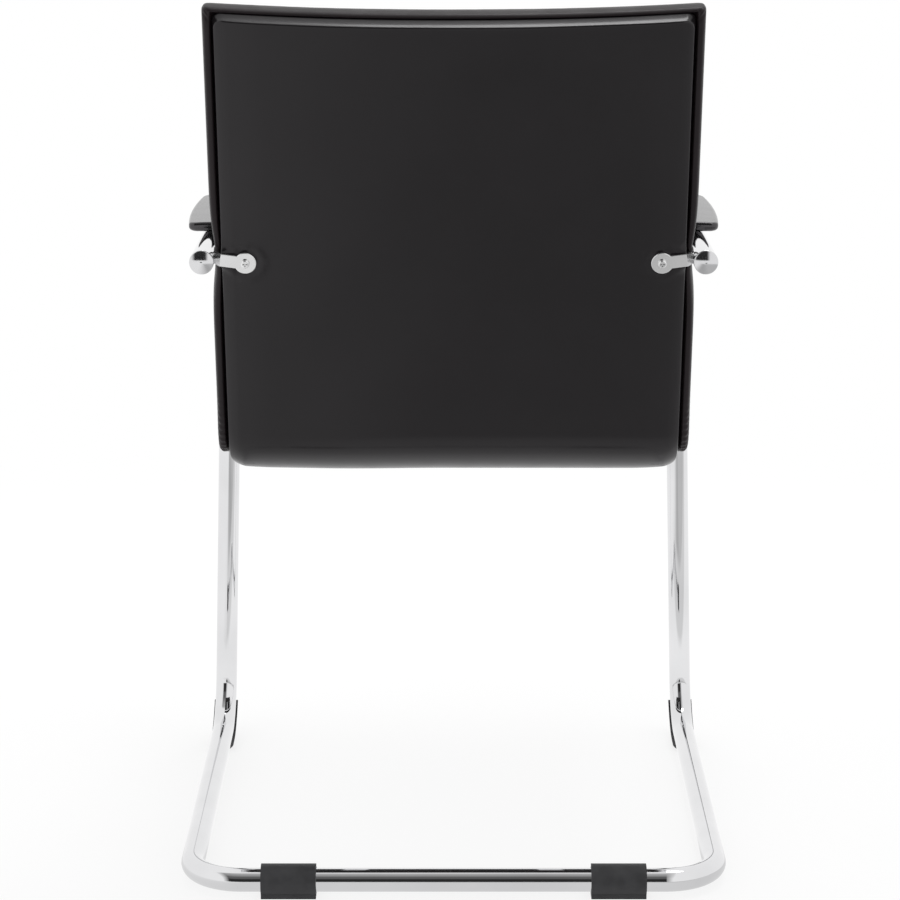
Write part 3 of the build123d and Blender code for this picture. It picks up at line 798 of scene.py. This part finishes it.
def panel_lines():
    """Grid lines, fine at the edges."""
    fine = 1.5 * MM
    medium = 3 * MM
    coarse = 4 * MM
    edge = 16 * MM
    inner = PANEL_HALF - edge
    across = lines((-PANEL_HALF, fine), (-inner, coarse), (inner, fine), (PANEL_HALF, fine))
    along = lines((0, fine), (edge, medium), (panel_run - edge, fine), (panel_run, fine))
    return across, along, depth_lines(PANEL_THICK, PANEL_FRONT_EDGE_R, PANEL_EDGE_R, steps=6)


box_points, quads = box_grid(*panel_lines())
rear_panel = make_mesh("rear_panel", panel_surface(box_points), quads, vinyl)
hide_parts("rear_cover", "rear_foam")


# Arm pads

def pad_surface(box_points, sign):
    """Places points of a pad's box (across, forward, up) in the shared frame, on the arm of that sign."""
    x, run, up = box_points.T
    x, run = round_plan(x, run, PAD_HALF, PAD_LENGTH, PAD_REAR_CORNER, PAD_NOSE_CORNER)
    x, run = draw_in(x, run, edge_inset(up, PAD_THICK, PAD_UNDER_R, PAD_TOP_R), PAD_HALF, PAD_LENGTH)
    share = up / PAD_THICK
    up = up + share * PAD_CROWN * (1 - (x / PAD_HALF) ** 2)
    x = x * (1 + PAD_BOW / PAD_HALF * (1 - (2 * run / PAD_LENGTH - 1) ** 2))
    tube_top = np.sqrt(np.clip((TUBE_R + LAYER_GAP) ** 2 - x ** 2, 0, None)) + ARM_HEIGHT - PAD_FLOOR
    up = np.where(share < PAD_SEAT_SHARE, np.maximum(up, tube_top), up)
    return np.column_stack([sign * ARM_X + x, PAD_REAR - run, PAD_FLOOR + up])


def pad_lines():
    """Grid lines, fine at the edges."""
    fine = 0.8 * MM
    medium = 1.5 * MM
    coarse = 3 * MM
    rear_edge = 8 * MM
    nose_edge = 18 * MM
    side_edge = 7 * MM
    inner = PAD_HALF - side_edge
    across = lines((-PAD_HALF, fine), (-inner, medium), (inner, fine), (PAD_HALF, fine))
    along = lines((0, fine), (rear_edge, coarse), (PAD_LENGTH - nose_edge, medium), (PAD_LENGTH, medium))
    return across, along, depth_lines(PAD_THICK, PAD_UNDER_R, PAD_TOP_R, steps=6)


pad_box, quads = box_grid(*pad_lines())
for sign, side in ((1, "left"), (-1, "right")):
    pad = make_mesh("moulded_pad_" + side, pad_surface(pad_box, sign), quads, pad_skin)
    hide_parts("arm_pad_" + side)


# Dust cover: a thin sheet stapled under the shell, slack between its edges and the rails

def sheet_mesh(name, upper, lower, kept, material):
    """A thin closed sheet over the kept cells of a grid, from its upper and lower points."""
    rows, columns = upper.shape[:2]
    index = np.arange(rows * columns).reshape(rows, columns)
    below = index + rows * columns
    filled = np.pad(kept, 1)
    quads = []
    for i, j in np.argwhere(kept):
        ring = [(i, j), (i + 1, j), (i + 1, j + 1), (i, j + 1)]
        quads.append([index[spot] for spot in ring])
        quads.append([below[spot] for spot in ring[::-1]])
        beside = [(i, j - 1), (i + 1, j), (i, j + 1), (i - 1, j)]
        for (a, b), (row, column) in zip(zip(ring, ring[1:] + ring[:1]), beside):
            if not filled[row + 1, column + 1]:
                quads.append([index[b], index[a], below[a], below[b]])
    points = np.concatenate([upper.reshape(-1, 3), lower.reshape(-1, 3)])
    used, quads = np.unique(np.array(quads), return_inverse=True)
    return make_mesh(name, points[used], quads.reshape(-1, 4), material)


dust_end = DUST_START + DUST_LENGTH
dust_waves = ripples(seed=31, wavelengths=(50 * MM, 120 * MM))
dust_x = lines((-DUST_HALF, DUST_PITCH), (DUST_HALF, DUST_PITCH))
dust_along = lines((DUST_START, DUST_PITCH), (dust_end, DUST_PITCH))


def dust_layers():
    """Upper and lower points of the sheet."""
    x, along = np.meshgrid(dust_x, dust_along, indexing="ij")
    to_rail = np.abs(np.abs(x) - RAIL_X) - RAIL_HALF
    to_end = np.minimum(along - DUST_START, dust_end - along)
    slack = ease((to_rail - DUST_RAIL_GAP) / DUST_RAIL_RUN) * ease(to_end / DUST_EDGE_RUN)
    slack = slack * ease((DUST_HALF - np.abs(x)) / DUST_EDGE_RUN)
    waves = dust_waves(x.ravel(), along.ravel()).reshape(x.shape)
    sag = DUST_SAG * slack * uneven(waves)
    layers = []
    for offset in (LAYER_GAP, LAYER_GAP + DUST_THICK):
        spot = SHELL_CORNER + along[..., None] * SEAT_DIR + (offset + sag)[..., None] * SEAT_OUT
        layers.append(np.concatenate([x[..., None], spot], axis=-1))
    return layers


def dust_cells():
    """Which cells of the grid the sheet has: all but those round the bolts."""
    low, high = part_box("seat_bolts")
    cell_x = (dust_x[:-1] + dust_x[1:]) / 2
    cell_along = (dust_along[:-1] + dust_along[1:]) / 2
    cells = np.ones((len(cell_x), len(cell_along)), bool)
    for y in (low[1] + BOLT_HEAD_R, high[1] - BOLT_HEAD_R):
        bolt = (SHELL_CORNER[0] - y) / math.cos(SEAT_PITCH)
        to_bolt = np.hypot(np.abs(cell_x)[:, None] - RAIL_X, cell_along[None, :] - bolt)
        cells &= to_bolt >= BOLT_CLEAR_R
    return cells


dust_sheet = sheet_mesh("dust_sheet", *dust_layers(), dust_cells(), lining)
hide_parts("dust_cover")


# Floor, light and camera

def background_rays(owner):
    """Two values of 0 or 1: rays from the camera, and rays by way of metal or glass."""
    path = add_node(owner, "ShaderNodeLightPath").outputs
    return path["Is Camera Ray"], combine(owner, "ADD", path["Is Glossy Ray"], path["Is Transmission Ray"])


def fade_over(owner, source, start, end, shape="SMOOTHSTEP"):
    """0 to 1 as a value goes from start to end."""
    node = add_node(owner, "ShaderNodeMapRange", From_Min=start, From_Max=end, interpolation_type=shape)
    link(owner, source, node.inputs["Value"])
    return node.outputs["Result"]


def floor_material():
    """Takes shadow near the chair and fades to plain white further out.

    In metal it is painted light, an emission that stands in for a lit studio floor: white under the chair
    and on the left as painted pools of light, lighter by the rear bar, and painted shade elsewhere.
    """
    material, shader = new_material("floor", Roughness=0.9, Specular_IOR_Level=0.1)
    tone = noise_texture(material, scale=3.0, detail=2.0)
    vary(material, shader, "Base Color", tone, [(0.3, 0.89), (0.7, 0.91)])
    place = object_coordinates(material)
    length = add_node(material, "ShaderNodeVectorMath", operation="LENGTH")
    link(material, place, length.inputs[0])
    split = add_node(material, "ShaderNodeSeparateXYZ")
    link(material, place, split.inputs["Vector"])
    across, back, _ = split.outputs
    far = fade_over(material, length.outputs["Value"], *FLOOR_FADE)
    # Painted light that only metal shows: pools of light under the chair, by the rear bar and on the left,
    # and painted shade between them
    painted_light_under_chair = fade_over(material, back, *PAINTED_LIGHT_UNDER_CHAIR)
    painted_light_by_bar = ramp(material, fade_over(material, back, *PAINTED_LIGHT_BY_BAR), [(0.0, 0.0), (1.0, PAINTED_LIGHT_BY_BAR_LEVEL)])
    leftward = fade_over(material, across, -PAINTED_LIGHT_HALF, PAINTED_LIGHT_HALF, "LINEAR")
    painted_light_in_metal = ramp(material, leftward, PAINTED_FLOOR_LIGHT)
    for brighter in (painted_light_by_bar, painted_light_under_chair, far):
        painted_light_in_metal = combine(material, "MAXIMUM", painted_light_in_metal, brighter)
    camera_ray, metal_ray = background_rays(material)
    # The floor glows: white to the camera, and the painted light above to metal
    white = add_node(material, "ShaderNodeEmission")
    link(material, combine(material, "MAXIMUM", camera_ray, painted_light_in_metal), white.inputs["Color"])
    plain = ramp(material, far, [(0.0, FLOOR_SHARE), (1.0, 1.0)])
    to_camera = combine(material, "MULTIPLY", camera_ray, plain)
    blend = add_node(material, "ShaderNodeMixShader")
    link(material, combine(material, "ADD", to_camera, metal_ray), blend.inputs["Fac"])
    link(material, shader.outputs["BSDF"], blend.inputs[1])
    link(material, white.outputs["Emission"], blend.inputs[2])
    link(material, blend.outputs["Shader"], material.node_tree.nodes["Material Output"].inputs["Surface"])
    return material


def make_floor():
    bpy.ops.mesh.primitive_circle_add(vertices=96, radius=FLOOR_RADIUS, fill_type="NGON")
    floor = bpy.context.object
    floor.name = "floor"
    floor.location.y = FLOOR_MIDDLE
    floor.data.materials.append(floor_material())


def area_light(name, place, target, size, power, mirrored=False):
    """A softbox that the camera never sees, and that metal shows only where it is mirrored."""
    light = bpy.data.lights.new(name, "AREA")
    light.shape = "RECTANGLE"
    light.size, light.size_y = size
    light.energy = power
    lamp = bpy.data.objects.new(name, light)
    lamp.location = place
    lamp.visible_camera = False
    lamp.visible_glossy = mirrored
    aim = Vector(target) - Vector(place)
    lamp.rotation_euler = aim.to_track_quat("-Z", "Y").to_euler()
    bpy.context.scene.collection.objects.link(lamp)


def make_world():
    """White to the camera.

    Metal shows it white too, apart from the unlit gap between the softboxes behind the camera.
    """
    world = bpy.data.worlds.new("studio")
    bpy.context.scene.world = world
    world.use_nodes = True
    world.node_tree.nodes.clear()
    split = add_node(world, "ShaderNodeSeparateXYZ")
    link(world, add_node(world, "ShaderNodeTexCoord").outputs["Generated"], split.inputs["Vector"])
    across, back, up = split.outputs
    leftward = fade_over(world, across, -1.0, 1.0, "LINEAR")
    wide = ramp(world, leftward, GAP_ACROSS)
    tall = ramp(world, up, GAP_UPWARD)
    behind = ramp(world, back, GAP_BACKWARD)
    camera_ray, metal_ray = background_rays(world)
    unlit = combine(world, "MULTIPLY", combine(world, "MULTIPLY", wide, tall), behind)
    unlit = combine(world, "SUBTRACT", unlit, camera_ray)
    invert = add_node(world, "ShaderNodeInvert")
    link(world, unlit, invert.inputs["Color"])
    white = add_node(world, "ShaderNodeBackground")
    link(world, invert.outputs["Color"], white.inputs["Color"])
    room = add_node(world, "ShaderNodeBackground")
    link(world, ramp(world, up, ROOM_UPWARD), room.inputs["Color"])
    blend = add_node(world, "ShaderNodeMixShader")
    link(world, combine(world, "ADD", camera_ray, metal_ray), blend.inputs["Fac"])
    link(world, room.outputs["Background"], blend.inputs[1])
    link(world, white.outputs["Background"], blend.inputs[2])
    link(world, blend.outputs["Shader"], add_node(world, "ShaderNodeOutputWorld").inputs["Surface"])


def make_camera():
    data = bpy.data.cameras.new("camera")
    data.sensor_width = CAMERA_SENSOR
    data.lens = CAMERA_LENS
    camera = bpy.data.objects.new("camera", data)
    aim = Vector((0, -math.cos(CAMERA_TILT), -math.sin(CAMERA_TILT)))
    turn = aim.to_track_quat("-Z", "Y").to_matrix().to_4x4()
    camera.matrix_world = Matrix.Translation(CAMERA_PLACE) @ turn
    bpy.context.scene.collection.objects.link(camera)
    bpy.context.scene.camera = camera


make_floor()
make_world()
area_light("softbox_left", place=(2.2, 1.2, 1.7), target=(0, 0, 0.5), size=(1.6, 2.2), power=6)
area_light("softbox_right", place=(-2.4, 0.9, 1.6), target=(0, 0, 0.5), size=(1.4, 2.0), power=3)
area_light("softbox_front", place=(0, -2.2, 1.3), target=(0, -0.1, 0), size=(2.0, 0.8), power=18)
area_light(
    "strip_top", place=(-0.5, -0.6, 3.0), target=(0, 0, 0.4), size=(1.4, 0.5), power=14, mirrored=True
)
make_camera()
bpy.context.scene.view_settings.view_transform = "Standard"
